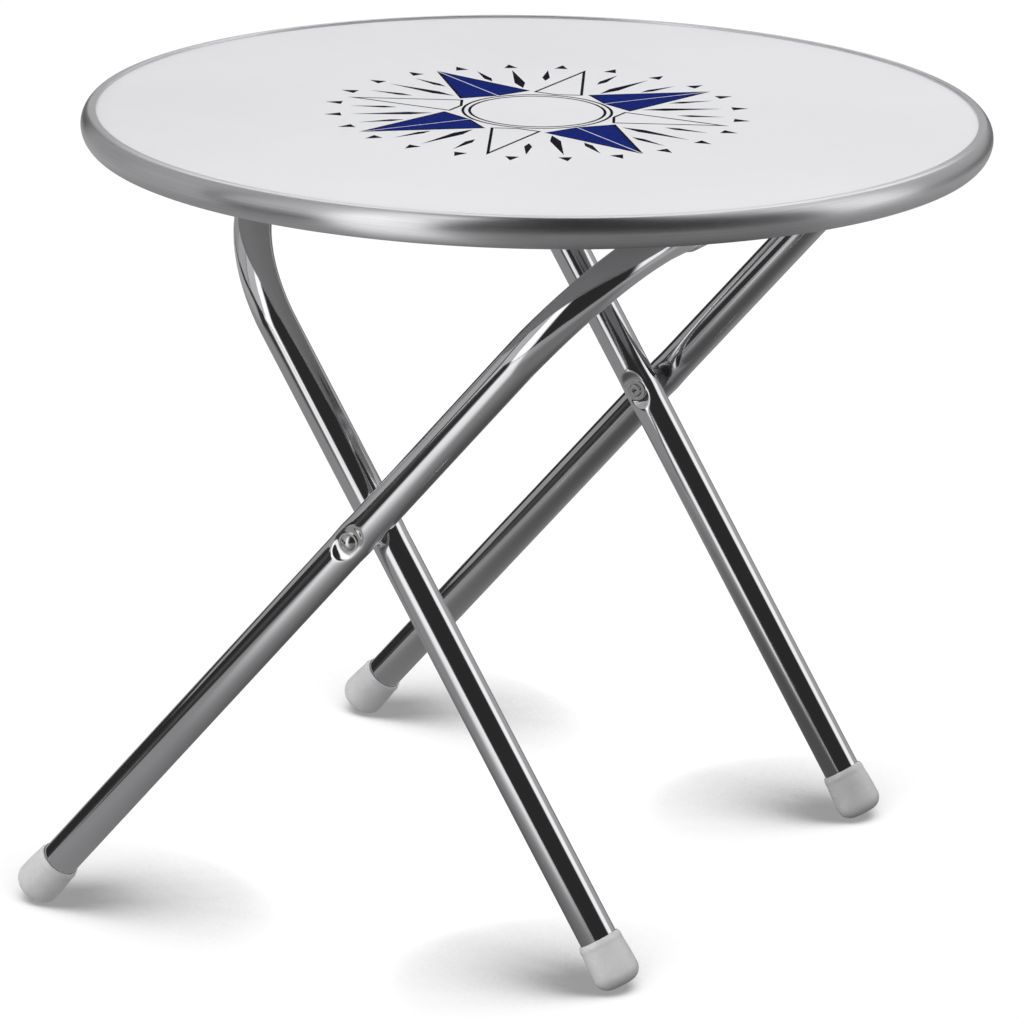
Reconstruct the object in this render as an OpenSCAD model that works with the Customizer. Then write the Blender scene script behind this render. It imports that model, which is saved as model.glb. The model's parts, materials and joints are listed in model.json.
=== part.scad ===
// Round folding table for caravans, campers and boats.
// A laminated round top in an aluminium rim stands on two bent tube frames.
// The outer frame is hinged under the top, the inner frame snaps into two clips,
// and the two frames cross at a pair of rivets.
// X is the direction in which the legs spread, Y runs along the crossbars, Z is up,
// and the origin is on the floor under the middle of the top. All sizes are in millimetres.

/* [Table top] */
// Diameter of the finished top, over the rim
top_d = 600; // [520:5:680]
// Height of the top of the rim above the floor
top_h = 524; // [500:1:560]
// Thickness of the wood core
core_t = 16; // [12:0.5:19]
// Thickness of each laminate sheet
laminate_t = 0.8; // [0.6:0.1:1.5]

/* [Edge rim] */
// Wall of the rim profile, and height of its lips
rim_wall = 1.6; // [1:0.1:2]
// Radial width of the rim from the edge of its lip to its outermost line
rim_w = 10; // [8:0.5:14]
// How far the rounded face of the rim bulges past its flat lips
rim_bulge = 5.6; // [4:0.2:7]
// Length of the tongue that is pressed into the core
tongue_len = 11; // [8:0.5:16]
// Thickness of the tongue between its barbs
tongue_t = 1.6; // [1.2:0.1:2]
// Height of each barb on the tongue
barb_h = 0.5; // [0.3:0.1:0.8]
// Number of barbs along the tongue
barb_count = 3; // [2:1:5]
// Depth of the core's groove beyond the tip of the tongue
groove_spare = 1; // [0.5:0.1:2]
// Gap between the edge of the panel and the hollow of the rim
panel_play = 0.2; // [0.1:0.05:0.3]
// Gap at the butt joint where the two ends of the rim meet
joint_gap = 0.4; // [0.2:0.1:1]
// Direction of the butt joint, seen from above
joint_angle = 110; // [95:5:150]

/* [Print on the top] */
// Depth of the printed inlay
print_t = 0.3; // [0.2:0.05:0.5]
// Turn of the rose on the top
rose_turn = 57; // [0:1:90]
// Radius at the tips of the four main points
rose_tip_r = 135; // [120:1:150]
// Outer radius of the double ring round the middle
rose_ring_r = 50; // [44:1:54]
// Distance from the outer ring to the inner ring
ring_step = 4.4; // [3:0.1:6]
// Width of every printed line
line_w = 1.9; // [0.8:0.1:2.4]
// White gap between the rings and the roots of the points
root_gap = 1; // [1:0.5:4]
// Length of a point from its root to its shoulders
shoulder_len = 4; // [3:0.5:10]
// White gap between the two halves of a main point
half_gap = 0.8; // [0.5:0.1:2]
// Half width of a main point at its shoulders
main_half_w = 27; // [18:0.5:27.5]
// Half width of an outlined point at its shoulders
minor_half_w = 17; // [12:0.5:19]
// How much shorter the outlined points are than the main points
minor_short = 5; // [0:1:20]
// Number of long rays, which stand between all the points
ray_count = 8; // [8:8:16]
// Half width of a long ray
ray_half_w = 3.6; // [1:0.1:4.5]
// Distance from the shoulders of the points to the root of a long ray
ray_start = 14; // [8:1:20]
// Length of a long ray from its root to its widest place
ray_shoulder = 16; // [10:1:24]
// How much shorter the rays reach than the main points
ray_short = 11; // [6:1:20]
// Number of short rays, which stand on both sides of every point
spike_count = 16; // [16:16:32]
// Radius at the root of a short ray
spike_root_r = 92; // [90:1:100]
// Length of a short ray from its root to its widest place
spike_shoulder = 9; // [6:1:14]
// Half width of a short ray
spike_half_w = 2.6; // [1:0.1:3.5]
// Number of small triangles in the outer ring
tri_count = 24; // [16:8:32]
// Length of a small triangle
tri_len = 11; // [5:0.5:13]
// Half width of a small triangle
tri_half_w = 4.6; // [2:0.1:5]

/* [Leg frames] */
// Outside diameter of the leg tube
tube_d = 25; // [22:0.5:28]
// Wall of the leg tube
tube_wall = 1.2; // [1:0.1:2]
// Radius of the bends, to the middle of the tube
bend_r = 90; // [70:1:110]
// Distance from the middle of the table to the axis of an outer leg
outer_half_w = 229.5; // [210:0.5:250]
// Clear gap between an outer leg and the inner leg beside it
frame_gap = 12; // [10:0.5:16]
// Slope of the outer legs above the floor
outer_angle = 49.35; // [46:0.05:53]
// Slope of the inner legs above the floor
inner_angle = 57.7; // [54:0.05:61]
// Height of the rivets above the floor
pivot_z = 287; // [275:1:305]
// Place of the rivets along the spread of the legs
pivot_x = -10; // [-20:1:0]
// Depth of the crossbar axes under the panel
bar_drop = 19; // [18:0.5:24]

/* [Pivots] */
// Diameter of the rivet shank
rivet_d = 6; // [5:0.1:8]
// Diameter of the rivet head
rivet_head_d = 11; // [9.5:0.1:13]
// Height of the rivet head
rivet_head_h = 3; // [2:0.1:4]
// Diameter of the rolled tail of the rivet
rivet_tail_d = 9.4; // [8.5:0.1:11]
// Height of the rolled tail
rivet_tail_h = 2; // [1.5:0.1:3]
// Bore in the tail of the rivet
rivet_bore_d = 3.6; // [2.5:0.1:4.5]
// Diameter of the washers under the rivet head and tail
washer_d = 13.5; // [12:0.1:15]
// Thickness of those washers
washer_t = 0.8; // [0.5:0.1:1.2]
// Diameter of the spacer between the frames
spacer_d = 14; // [12:0.1:16]
// Depth of the pressed seat for a rivet head, from the side of the tube
seat_depth = 3; // [2.5:0.1:6.5]
// Flat margin of that seat round the washer
seat_margin = 1.5; // [1:0.1:2.5]
// Depth of the flat that faces the spacer
flat_depth = 1.5; // [1:0.1:2.5]
// Margin of that flat round the spacer
flat_margin = 1; // [0.5:0.1:2]
// Radius of the pressed hollow along the leg
press_r = 24; // [20:1:90]
// How much shallower the hollow is than the flat seat in it
hollow_rise = 0.4; // [0.2:0.1:1]
// Radial clearance of a rivet in a tube that turns on it
pivot_play = 0.1; // [0.05:0.01:0.1]
// Gap between faces that turn against each other
face_play = 0.2; // [0.1:0.05:0.3]

/* [Feet] */
// Largest diameter of a foot cap
foot_d = 31; // [30:0.5:38]
// Diameter of a foot cap at its mouth
foot_mouth_d = 28; // [27.6:0.1:30]
// Length of a foot cap
foot_len = 33.5; // [28:0.5:45]
// Radius of the rounding round the bottom of a foot cap
foot_round = 9; // [4:0.5:10]
// Chamfer round the mouth of a foot cap
foot_chamfer = 0.6; // [0.4:0.1:1]
// Thickness of plastic under the end of the tube
foot_floor = 6; // [4:0.5:8]

/* [Hinge under the top] */
// Distance of each hinge block from the middle of the crossbar
hinge_y = 100; // [80:1:115]
// Width of a hinge block along the crossbar
hinge_w = 24; // [20:1:30]
// Length of a hinge block across the crossbar
hinge_len = 58; // [56:1:70]
// Radial clearance of the crossbar in its hinge
hinge_play = 0.1; // [0.05:0.01:0.1]
// Width of the steel strap
strap_w = 18; // [14:1:20]
// Thickness of the steel strap
strap_t = 1.5; // [1:0.1:2]

/* [Clips under the top] */
// Distance of each clip from the middle of the crossbar
clip_y = 70; // [50:1:85]
// Width of a clip along the crossbar
clip_w = 22; // [16:1:28]
// Length of the clip's base plate across the crossbar
clip_len = 62; // [58:1:70]
// Thickness of the clip's base plate
clip_base_t = 3; // [2.5:0.1:3.5]
// Wall of the clip round the crossbar
clip_wall = 3; // [2:0.1:4]
// Gap between the clip and the crossbar in it
clip_play = 0.3; // [0.2:0.05:0.4]
// Angle of the clip's mouth, seen from the crossbar axis
clip_mouth = 110; // [90:2:130]
// Radius of the rounded lips at the clip's mouth
clip_lip_r = 2.4; // [2:0.1:3]
// Width of the neck between the clip's base plate and its ring
clip_neck_w = 22; // [18:0.5:26]
// Distance of the clip's screws from the ends of its base plate
clip_screw_edge = 6.6; // [6:0.1:8]

/* [Screws] */
// Diameter of a screw shank
screw_d = 4; // [3.5:0.1:4.5]
// Diameter of a screw head
screw_head_d = 8; // [7:0.1:9]
// Height of a screw head
screw_head_h = 2.4; // [2:0.1:2.8]
// Width of the cross recess in a screw head
recess_w = 1; // [0.6:0.1:1.4]
// Depth that a screw reaches into the core
screw_bite = 11; // [8:0.5:11.5]
// Clearance round parts that are pushed or pressed together
fit_play = 0.05; // [0.02:0.01:0.08]

/* [Hidden] */
$fn = 96;
// A cut runs this far past the face that it opens
over = 1;
near = -1;
far = 1;

// Table top
top_r = top_d / 2;
panel_t = core_t + 2 * laminate_t;
rim_h = panel_t + 2 * rim_wall;
panel_z = top_h - rim_wall - panel_t;
laminate_z = panel_z + panel_t - laminate_t;
mid_z = panel_z + panel_t / 2;

// Edge rim: its face is one arc through the two lip edges and the outermost line
face_r = (rim_h * rim_h / 4 + rim_bulge * rim_bulge) / (2 * rim_bulge);
face_x = top_r - face_r;
lip_x = top_r - rim_w;
hollow_r = face_r - rim_wall;
panel_r = face_x + sqrt(hollow_r * hollow_r - panel_t * panel_t / 4) - panel_play;
groove_h = tongue_t + 2 * barb_h + 2 * fit_play;
barb_pitch = tongue_len / barb_count;

// Print
rose_root_r = rose_ring_r + root_gap;
rose_shoulder_r = rose_root_r + shoulder_len;
minor_tip_r = rose_tip_r - minor_short;
ray_root_r = rose_shoulder_r + ray_start;
ray_tip_r = rose_tip_r - ray_short;
tri_root_r = minor_tip_r;

// Leg frames, whose lengths are cut to a hundredth of a millimetre
function cut_to(length) = round(length * 100) / 100;
tube_r = tube_d / 2;
inner_half_w = outer_half_w - tube_d - frame_gap;
bar_z = panel_z - bar_drop;
outer_up = cut_to((bar_z - pivot_z) / sin(outer_angle));
inner_up = cut_to((bar_z - pivot_z) / sin(inner_angle));
outer_bar_x = pivot_x + outer_up * cos(outer_angle);
inner_bar_x = pivot_x - inner_up * cos(inner_angle);

// Feet: the rounding of every cap touches the floor
foot_r = foot_d / 2;
function foot_end_z(slope) = foot_round + (foot_r - foot_round) * cos(slope) - foot_round * sin(slope);
outer_down = cut_to((pivot_z - foot_end_z(outer_angle)) / sin(outer_angle));
inner_down = cut_to((pivot_z - foot_end_z(inner_angle)) / sin(inner_angle));

// Pivots, measured outwards from the middle of the table
rivet_r = rivet_d / 2;
seat_r = washer_d / 2 + seat_margin;
flat_r = spacer_d / 2 + flat_margin;
head_seat_y = outer_half_w + tube_r - seat_depth;
outer_flat_y = outer_half_w - tube_r + flat_depth;
inner_flat_y = inner_half_w + tube_r - flat_depth;
tail_seat_y = inner_half_w - tube_r + seat_depth;
tail_washer_y = tail_seat_y - face_play;
tail_y = tail_washer_y - washer_t;

// Hinges and clips
strap_r = tube_r + hinge_play + strap_t;
hinge_screw_x = (strap_r + hinge_len / 2) / 2;
clip_in_r = tube_r + clip_play;
clip_out_r = clip_in_r + clip_wall;
clip_screw_x = clip_len / 2 - clip_screw_edge;
core_z = panel_z + laminate_t;

// Kite that points along X, drawn in from its outline by the inset
module kite(root, shoulder, tip, half_w, inset = 0) {
    root_side = norm([shoulder - root, half_w]);
    tip_side = norm([tip - shoulder, half_w]);
    y = half_w - inset * (root_side + tip_side) / (tip - root);
    x = root + (inset * root_side + y * (shoulder - root)) / half_w;
    polygon([[root + inset * root_side / half_w, 0], [x, y], [tip - inset * tip_side / half_w, 0], [x, -y]]);
}

// Copies of a shape round the middle of the rose
module round_copies(count, first = 0) {
    for (i = [0 : count - 1]) rotate(rose_turn + first + i * 360 / count) children();
}

// One main point, or its inner part, without its white middle line
module main_point(inset = 0) {
    difference() {
        kite(rose_root_r, rose_shoulder_r, rose_tip_r, main_half_w, inset);
        translate([0, -half_gap / 2]) square([rose_tip_r, half_gap]);
    }
}

// Outlined point between two main points
module minor_point() {
    difference() {
        kite(rose_root_r, rose_shoulder_r, minor_tip_r, minor_half_w);
        kite(rose_root_r, rose_shoulder_r, minor_tip_r, minor_half_w, line_w);
    }
}

// All navy fields of the rose
module blue_print() {
    round_copies(4) main_point(line_w);
}

// All black fields of the rose
module black_print() {
    round_copies(4) difference() {
        main_point();
        main_point(line_w);
    }
    round_copies(4, 45) minor_point();
    round_copies(ray_count, 180 / ray_count)
        kite(ray_root_r, ray_root_r + ray_shoulder, ray_tip_r, ray_half_w);
    round_copies(spike_count, 180 / spike_count)
        kite(spike_root_r, spike_root_r + spike_shoulder, ray_tip_r, spike_half_w);
    round_copies(tri_count, 180 / tri_count)
        polygon([[tri_root_r, -tri_half_w], [tri_root_r + tri_len, 0], [tri_root_r, tri_half_w]]);
    for (r = [rose_ring_r, rose_ring_r - ring_step]) difference() {
        circle(r);
        circle(r - line_w);
    }
}

// Screw hole positions of the hinges and the clips
module at_hinge_screws() {
    for (side = [near, far], end = [-1, 1])
        translate([outer_bar_x + end * hinge_screw_x, side * hinge_y, 0]) children();
}

module at_clip_screws() {
    for (side = [near, far], end = [-1, 1])
        translate([inner_bar_x + end * clip_screw_x, side * clip_y, 0]) children();
}

// Holes for all screws that enter the panel from below
module panel_screw_holes() {
    at_hinge_screws() screw_hole();
    at_clip_screws() screw_hole();
}

module screw_hole() {
    translate([0, 0, panel_z - over]) cylinder(r = screw_d / 2 + fit_play, h = screw_bite + over + fit_play);
}

// Wood core with the groove for the rim's tongue
module core_panel() {
    color("burlywood") difference() {
        translate([0, 0, core_z]) cylinder(r = panel_r, h = core_t, $fn = 180);
        translate([0, 0, mid_z - groove_h / 2]) difference() {
            cylinder(r = panel_r + over, h = groove_h, $fn = 180);
            translate([0, 0, -over])
                cylinder(r = panel_r - tongue_len - groove_spare, h = groove_h + 2 * over, $fn = 180);
        }
        panel_screw_holes();
    }
}

// Top laminate, with shallow pockets that hold the print
module top_laminate() {
    color("whitesmoke") difference() {
        translate([0, 0, laminate_z]) cylinder(r = panel_r, h = laminate_t, $fn = 180);
        translate([0, 0, laminate_z + laminate_t - print_t]) linear_extrude(print_t + over) {
            blue_print();
            black_print();
        }
    }
}

// Backing laminate on the underside
module backing_laminate() {
    color("gainsboro") difference() {
        translate([0, 0, panel_z]) cylinder(r = panel_r, h = laminate_t, $fn = 180);
        panel_screw_holes();
    }
}

module compass_blue() {
    color("midnightblue") translate([0, 0, laminate_z + laminate_t - print_t])
        linear_extrude(print_t) blue_print();
}

module compass_black() {
    color([0.08, 0.08, 0.1]) translate([0, 0, laminate_z + laminate_t - print_t])
        linear_extrude(print_t) black_print();
}

// Outline of the tongue on one side, with its barbs, from its tip outwards
function tongue_edge(side) = [for (i = [0 : barb_count - 1], p = [0, 1, 2])
    let (x = panel_r - tongue_len + i * barb_pitch, back = x + barb_pitch * 3 / 4)
    [p == 0 ? x : back, side * (tongue_t / 2 + (p == 1 ? barb_h : 0))]];

// Section of the rim in the plane of radius and height
module rim_section() {
    difference() {
        intersection() {
            translate([lip_x, -rim_h / 2]) square([rim_w + over, rim_h]);
            translate([face_x, 0]) circle(face_r);
        }
        intersection() {
            translate([lip_x - over, -panel_t / 2]) square([rim_w + over, panel_t]);
            union() {
                translate([face_x, 0]) circle(hollow_r);
                translate([lip_x - over, -panel_t / 2]) square([face_x - lip_x + 2 * over, panel_t]);
            }
        }
    }
}

// Section of the tongue, which starts inside the wall of the rim
module tongue_section() {
    upper = tongue_edge(1);
    lower = tongue_edge(-1);
    root_x = face_x + face_r - rim_wall / 2;
    polygon(concat(upper, [[root_x, tongue_t / 2], [root_x, -tongue_t / 2]],
        [for (i = [len(lower) - 1 : -1 : 0]) lower[i]]));
}

// Aluminium rim, bent to a ring and butted at the back
module edge_rim() {
    color("silver") difference() {
        translate([0, 0, mid_z]) {
            rotate_extrude($fn = 180) rim_section();
            rotate_extrude($fn = 180) tongue_section();
        }
        rotate([0, 0, joint_angle]) translate([top_r / 2, -joint_gap / 2, mid_z - rim_h])
            cube([top_r, joint_gap, 2 * rim_h]);
    }
}

// Nylon block that holds the outer crossbar under the panel
module hinge_block(side) {
    color("dimgray") difference() {
        translate([outer_bar_x - hinge_len / 2, side * hinge_y - hinge_w / 2, bar_z])
            cube([hinge_len, hinge_w, bar_drop]);
        translate([outer_bar_x, side * hinge_y, bar_z]) rotate([90, 0, 0])
            cylinder(r = tube_r + hinge_play, h = hinge_w + 2 * over, center = true);
        for (end = [-1, 1]) translate([outer_bar_x + end * hinge_screw_x, side * hinge_y, bar_z - over])
            cylinder(r = screw_d / 2 + fit_play, h = bar_drop + 2 * over);
    }
}

// Steel strap that closes the hinge from below
module hinge_strap(side) {
    color("silver") difference() {
        union() {
            translate([outer_bar_x, side * hinge_y, bar_z]) rotate([90, 0, 0])
                cylinder(r = strap_r, h = strap_w, center = true);
            translate([outer_bar_x - hinge_len / 2, side * hinge_y - strap_w / 2, bar_z - strap_t])
                cube([hinge_len, strap_w, strap_t]);
        }
        translate([outer_bar_x, side * hinge_y, bar_z]) rotate([90, 0, 0])
            cylinder(r = tube_r + hinge_play, h = strap_w + 2 * over, center = true);
        translate([outer_bar_x - hinge_len, side * hinge_y - strap_w, bar_z])
            cube([2 * hinge_len, 2 * strap_w, 2 * strap_r]);
        for (end = [-1, 1])
            translate([outer_bar_x + end * hinge_screw_x, side * hinge_y, bar_z - strap_t - over])
                cylinder(r = screw_d / 2 + fit_play, h = strap_t + 2 * over);
    }
}

// Cross recess in a screw head whose outer face is at z = 0
module cross_recess() {
    for (turn = [0, 90]) rotate([0, 0, turn])
        translate([-screw_head_d / 4, -recess_w / 2, -over])
            cube([screw_head_d / 2, recess_w, over + screw_head_h / 2]);
}

// Pan-head screw that points up, with its head under z = 0
module pan_screw(length) {
    difference() {
        union() {
            intersection() {
                translate([0, 0, -screw_head_h]) cylinder(r = screw_head_d / 2, h = screw_head_h);
                translate([0, 0, screw_head_d - screw_head_h]) sphere(r = screw_head_d);
            }
            translate([0, 0, -screw_head_h / 2]) cylinder(r = screw_d / 2, h = length + screw_head_h / 2);
        }
        translate([0, 0, -screw_head_h]) cross_recess();
    }
}

// Countersunk screw that points up, with the face of its head at z = 0
module flat_screw(length) {
    difference() {
        union() {
            cylinder(r1 = screw_head_d / 2, r2 = screw_d / 2, h = screw_head_h);
            cylinder(r = screw_d / 2, h = length);
        }
        cross_recess();
    }
}

module hinge_screws() {
    color("gainsboro") at_hinge_screws() translate([0, 0, bar_z - strap_t])
        pan_screw(strap_t + bar_drop + screw_bite);
}

module clip_screws() {
    color("gainsboro") at_clip_screws() translate([0, 0, panel_z - clip_base_t])
        flat_screw(clip_base_t + screw_bite);
}

// Snap clip for the inner crossbar, open towards the floor
module latch_clip(side) {
    color("dimgray") translate([inner_bar_x, side * clip_y, 0]) difference() {
        union() {
            translate([-clip_len / 2, -clip_w / 2, panel_z - clip_base_t])
                cube([clip_len, clip_w, clip_base_t]);
            translate([-clip_neck_w / 2, -clip_w / 2, bar_z])
                cube([clip_neck_w, clip_w, bar_drop - clip_base_t / 2]);
            translate([0, 0, bar_z]) rotate([90, 0, 0])
                cylinder(r = clip_out_r, h = clip_w, center = true);
            for (end = [-1, 1]) clip_lip(end);
        }
        translate([0, 0, bar_z]) rotate([90, 0, 0])
            cylinder(r = clip_in_r, h = clip_w + 2 * over, center = true);
        translate([0, clip_w / 2 + over, bar_z]) rotate([90, 0, 0]) linear_extrude(clip_w + 2 * over)
            polygon([[0, 0], mouth_edge(-1), mouth_edge(1)]);
        for (end = [-1, 1]) translate([end * clip_screw_x, 0, panel_z - clip_base_t]) {
            translate([0, 0, -over]) cylinder(r = screw_d / 2 + fit_play, h = clip_base_t + 2 * over);
            translate([0, 0, -fit_play])
                cylinder(r1 = screw_head_d / 2 + fit_play, r2 = screw_d / 2 + fit_play, h = screw_head_h);
        }
    }
}

// Far corner of the wedge that opens the clip's mouth
function mouth_edge(end) =
    [end * 2 * clip_out_r * sin(clip_mouth / 2), -2 * clip_out_r * cos(clip_mouth / 2)];

// Rounded lead-in lip at one side of the clip's mouth
module clip_lip(end) {
    lip_at = (clip_in_r + clip_out_r) / 2;
    lip_turn = clip_mouth / 2 + asin(clip_wall / 2 / lip_at);
    translate([end * lip_at * sin(lip_turn), 0, bar_z - lip_at * cos(lip_turn)])
        rotate([90, 0, 0]) cylinder(r = clip_lip_r, h = clip_w, center = true);
}

// Places a frame's own plane: X runs up along the legs from the rivets
module on_outer_frame() {
    translate([pivot_x, 0, pivot_z]) rotate([0, -outer_angle, 0]) children();
}

module on_inner_frame() {
    translate([pivot_x, 0, pivot_z]) rotate([0, inner_angle - 180, 0]) children();
}

// Tube section in the plane of a rotate_extrude or linear_extrude
module tube_section() {
    difference() {
        circle(tube_r);
        circle(tube_r - tube_wall);
    }
}

// Bends and crossbar of a frame, as one hollow tube
module frame_bow(half_w, up) {
    for (side = [near, far])
        translate([up - bend_r, side * (half_w - bend_r), 0]) rotate([0, 0, side == near ? -90 : 0])
            rotate_extrude(angle = 90) translate([bend_r, 0]) tube_section();
    translate([up, half_w - bend_r, 0]) rotate([90, 0, 0])
        linear_extrude(2 * (half_w - bend_r)) tube_section();
}

// Tool that presses a hollow with a flat seat into one side of the leg on the given side of the table.
// The seat is at distance seat_y from the middle of the table, and away says where the tool stands:
// +1 for the face of the leg that looks outwards, -1 for the face that looks inwards.
module press_tool(side, seat_y, away, disc_r, grow) {
    translate([0, side * (seat_y + away * (press_r + hollow_rise)), 0])
        cylinder(r = press_r + grow, h = 2 * tube_d, center = true, $fn = 180);
    translate([0, side * (seat_y - away * grow), 0]) rotate([-90 * side * away, 0, 0])
        cylinder(r = disc_r + grow, h = tube_r);
}

// Both hollows of one leg: the seat of the rivet and the flat that faces the spacer
module leg_hollows(side, seat_y, seat_away, flat_y, grow) {
    press_tool(side, seat_y, seat_away, seat_r, grow);
    press_tool(side, flat_y, -seat_away, flat_r, grow);
}

// One hollow leg with its pressed hollows and its rivet hole. The walls of the hollows are
// a little wider than the bore, so that they join the wall of the tube.
module frame_leg(side, half_w, up, down, seat_y, seat_away, flat_y, hole_r) {
    difference() {
        union() {
            translate([up - bend_r, side * half_w, 0]) rotate([0, -90, 0]) rotate([0, 0, -90])
                linear_extrude(down + up - bend_r) tube_section();
            intersection() {
                translate([-press_r, side * half_w, 0]) rotate([0, 90, 0])
                    cylinder(r = tube_r - tube_wall / 2, h = 2 * press_r);
                leg_hollows(side, seat_y, seat_away, flat_y, tube_wall);
            }
        }
        leg_hollows(side, seat_y, seat_away, flat_y, 0);
        translate([0, side * half_w, 0]) rotate([90, 0, 0])
            cylinder(r = hole_r, h = 2 * tube_d, center = true);
    }
}

// Bent hollow tube of a whole frame
module frame_tube(half_w, up, down, seat_y, seat_away, flat_y, hole_r) {
    for (side = [near, far]) frame_leg(side, half_w, up, down, seat_y, seat_away, flat_y, hole_r);
    frame_bow(half_w, up);
}

module outer_tube() {
    color("lightsteelblue") on_outer_frame()
        frame_tube(outer_half_w, outer_up, outer_down - foot_floor,
            head_seat_y, 1, outer_flat_y, rivet_r + fit_play);
}

module inner_tube() {
    color("lightsteelblue") on_inner_frame()
        frame_tube(inner_half_w, inner_up, inner_down - foot_floor,
            tail_seat_y, -1, inner_flat_y, rivet_r + pivot_play);
}

// Section of a foot cap, from the middle of its bottom up along the leg
module foot_section() {
    difference() {
        union() {
            square([foot_r - foot_round, foot_len]);
            translate([foot_r - foot_round, foot_round]) circle(foot_round);
            polygon([[0, foot_round], [foot_r, foot_round], [foot_mouth_d / 2, foot_len - foot_chamfer],
                [foot_mouth_d / 2 - foot_chamfer, foot_len], [0, foot_len]]);
        }
        translate([0, foot_floor]) square([tube_r + fit_play, foot_len]);
        translate([-foot_d, -over]) square([foot_d, foot_len + 2 * over]);
    }
}

module foot_cap(half_w, down, side) {
    color("white") translate([-down, side * half_w, 0]) rotate([0, 90, 0]) rotate_extrude() foot_section();
}

// Places a part along the rivet axis: Z runs from the middle of the table outwards
module on_pivot(side) {
    translate([pivot_x, 0, pivot_z]) rotate([-90 * side, 0, 0]) children();
}

// Semi-tubular rivet: domed head outside, rolled tail inside
module pivot_rivet(side) {
    head_z = head_seat_y + washer_t;
    dome_r = (rivet_head_d * rivet_head_d / 4 + rivet_head_h * rivet_head_h) / (2 * rivet_head_h);
    color("gainsboro") on_pivot(side) difference() {
        union() {
            translate([0, 0, tail_y - rivet_tail_h / 2])
                cylinder(r = rivet_r, h = head_z - tail_y + rivet_tail_h);
            intersection() {
                translate([0, 0, head_z]) cylinder(r = rivet_head_d / 2, h = rivet_head_h);
                translate([0, 0, head_z + rivet_head_h - dome_r]) sphere(r = dome_r);
            }
            translate([0, 0, tail_y - rivet_tail_h])
                cylinder(r1 = (rivet_tail_d - rivet_tail_h) / 2, r2 = rivet_tail_d / 2, h = rivet_tail_h);
        }
        translate([0, 0, tail_y - rivet_tail_h - over])
            cylinder(d = rivet_bore_d, h = rivet_tail_h + over + rivet_d);
    }
}

// Flat washer on the rivet
module rivet_washer(side, from_y) {
    color("silver") on_pivot(side) translate([0, 0, from_y]) difference() {
        cylinder(r = washer_d / 2, h = washer_t);
        translate([0, 0, -over]) cylinder(r = rivet_r + fit_play, h = washer_t + 2 * over);
    }
}

// Nylon spacer that keeps the two frames apart
module pivot_spacer(side) {
    color("dimgray") on_pivot(side) translate([0, 0, inner_flat_y + face_play]) difference() {
        cylinder(r = spacer_d / 2, h = outer_flat_y - inner_flat_y - face_play);
        translate([0, 0, -over]) cylinder(r = rivet_r + fit_play, h = outer_flat_y - inner_flat_y + 2 * over);
    }
}

core_panel();
top_laminate();
backing_laminate();
compass_blue();
compass_black();
edge_rim();
hinge_block(near);  // hinge_block_near
hinge_block(far);  // hinge_block_far
hinge_strap(near);  // hinge_strap_near
hinge_strap(far);  // hinge_strap_far
hinge_screws();
latch_clip(near);  // latch_clip_near
latch_clip(far);  // latch_clip_far
clip_screws();
outer_tube();
on_outer_frame() foot_cap(outer_half_w, outer_down, near);  // outer_foot_near
on_outer_frame() foot_cap(outer_half_w, outer_down, far);  // outer_foot_far
pivot_rivet(near);  // pivot_rivet_near
pivot_rivet(far);  // pivot_rivet_far
pivot_spacer(near);  // pivot_spacer_near
pivot_spacer(far);  // pivot_spacer_far
rivet_washer(near, head_seat_y);  // head_washer_near
rivet_washer(far, head_seat_y);  // head_washer_far
inner_tube();
on_inner_frame() foot_cap(inner_half_w, inner_down, near);  // inner_foot_near
on_inner_frame() foot_cap(inner_half_w, inner_down, far);  // inner_foot_far
rivet_washer(near, tail_y);  // tail_washer_near
rivet_washer(far, tail_y);  // tail_washer_far
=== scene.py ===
"""Looks of the round folding table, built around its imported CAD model.

The CAD model is the fixed frame. This script gives every node its finish, puts smoother
or finer pieces where the CAD solids are plain, and sets up the studio and the camera.
All lengths are in metres in the frame of the CAD model: X along the spread of the legs,
Y along the crossbars, Z up from the floor.
"""

from __future__ import annotations

import json
import logging
import math
from dataclasses import dataclass
from enum import Enum
from typing import Any, Callable, Iterator, Sequence, Union

import bmesh
import bpy
from mathutils import Matrix, Vector


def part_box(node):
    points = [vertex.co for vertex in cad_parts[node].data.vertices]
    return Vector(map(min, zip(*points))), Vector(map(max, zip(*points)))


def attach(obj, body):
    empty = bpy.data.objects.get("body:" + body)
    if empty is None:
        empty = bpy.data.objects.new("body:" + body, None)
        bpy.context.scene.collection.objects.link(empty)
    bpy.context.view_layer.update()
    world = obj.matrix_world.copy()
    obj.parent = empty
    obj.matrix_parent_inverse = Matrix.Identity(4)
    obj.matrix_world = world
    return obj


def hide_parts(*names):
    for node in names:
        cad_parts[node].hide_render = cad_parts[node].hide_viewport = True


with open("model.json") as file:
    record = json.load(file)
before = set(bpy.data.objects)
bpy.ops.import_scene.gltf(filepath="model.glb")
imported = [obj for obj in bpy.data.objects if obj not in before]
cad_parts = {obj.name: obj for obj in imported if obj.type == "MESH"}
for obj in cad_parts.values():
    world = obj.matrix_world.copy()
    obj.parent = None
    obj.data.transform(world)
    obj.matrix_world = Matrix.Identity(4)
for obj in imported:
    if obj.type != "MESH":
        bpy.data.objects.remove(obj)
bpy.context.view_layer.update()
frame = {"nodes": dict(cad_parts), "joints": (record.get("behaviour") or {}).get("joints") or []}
LOG = logging.getLogger("folding_table")
MM = 0.001
# Mesh attribute of a tube: place along it, and across it from its middle line
RUN = "run"

Number = Union[int, float]
Colour = tuple[float, float, float]


# Shader maths


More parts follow.
